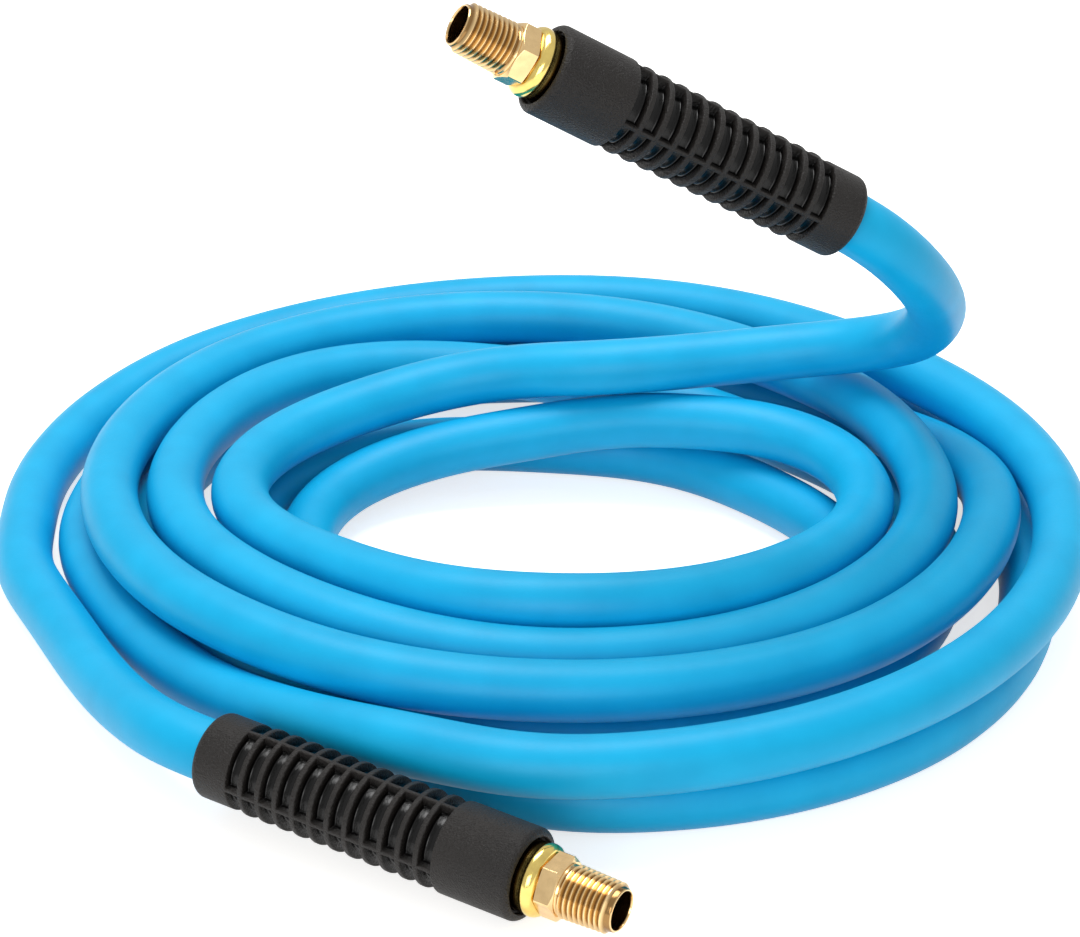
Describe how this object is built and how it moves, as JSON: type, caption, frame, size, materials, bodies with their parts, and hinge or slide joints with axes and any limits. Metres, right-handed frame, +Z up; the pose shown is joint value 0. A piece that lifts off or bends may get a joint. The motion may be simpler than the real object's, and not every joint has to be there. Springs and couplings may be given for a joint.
{
  "type": "coiled air hose",
  "caption": "Flexible blue air hose wound into a flat coil, with a black bend restrictor, crimped brass ferrule and male pipe-thread fitting at each end.",
  "frame": {"origin": "middle of the whole footprint, on the floor that the coil lies on", "axes": "+Z up; +X to the right and +Y to the back, with the lower fitting at the front"},
  "size_m": [0.3037, 0.3384, 0.1918],
  "materials": {
    "hose_blue": "matte, fine grain",
    "braid_white": "woven yarn",
    "liner_grey": "smooth",
    "sleeve_black": "matte moulded, fine grain",
    "ferrule_brass": "polished yellow brass",
    "fitting_brass": "machined brass"
  },
  "bodies": {
    "hose": {"hose_coil": "hose_blue", "hose_upper_run": "hose_blue", "hose_lower_run": "hose_blue", "upper_hose_cover": "hose_blue", "upper_hose_braid": "braid_white", "upper_hose_liner": "liner_grey", "upper_ferrule": "ferrule_brass", "upper_fitting": "fitting_brass", "lower_hose_cover": "hose_blue", "lower_hose_braid": "braid_white", "lower_hose_liner": "liner_grey", "lower_ferrule": "ferrule_brass", "lower_fitting": "fitting_brass"},
    "upper_restrictor": {"upper_bend_restrictor": "sleeve_black"},
    "lower_restrictor": {"lower_bend_restrictor": "sleeve_black"}
  },
  "joints": [
    {"name": "upper_restrictor_turn", "type": "hinge", "parent": "hose", "child": "upper_restrictor", "pos_m": [0.0785, -0.0204, 0.1255], "axis": [-0.8245, -0.2209, 0.521], "continuous": true},
    {"name": "lower_restrictor_turn", "type": "hinge", "parent": "hose", "child": "lower_restrictor", "pos_m": [-0.0794, -0.1015, 0.0153], "axis": [0.8456, -0.5325, -0.0366], "continuous": true}
  ]
}
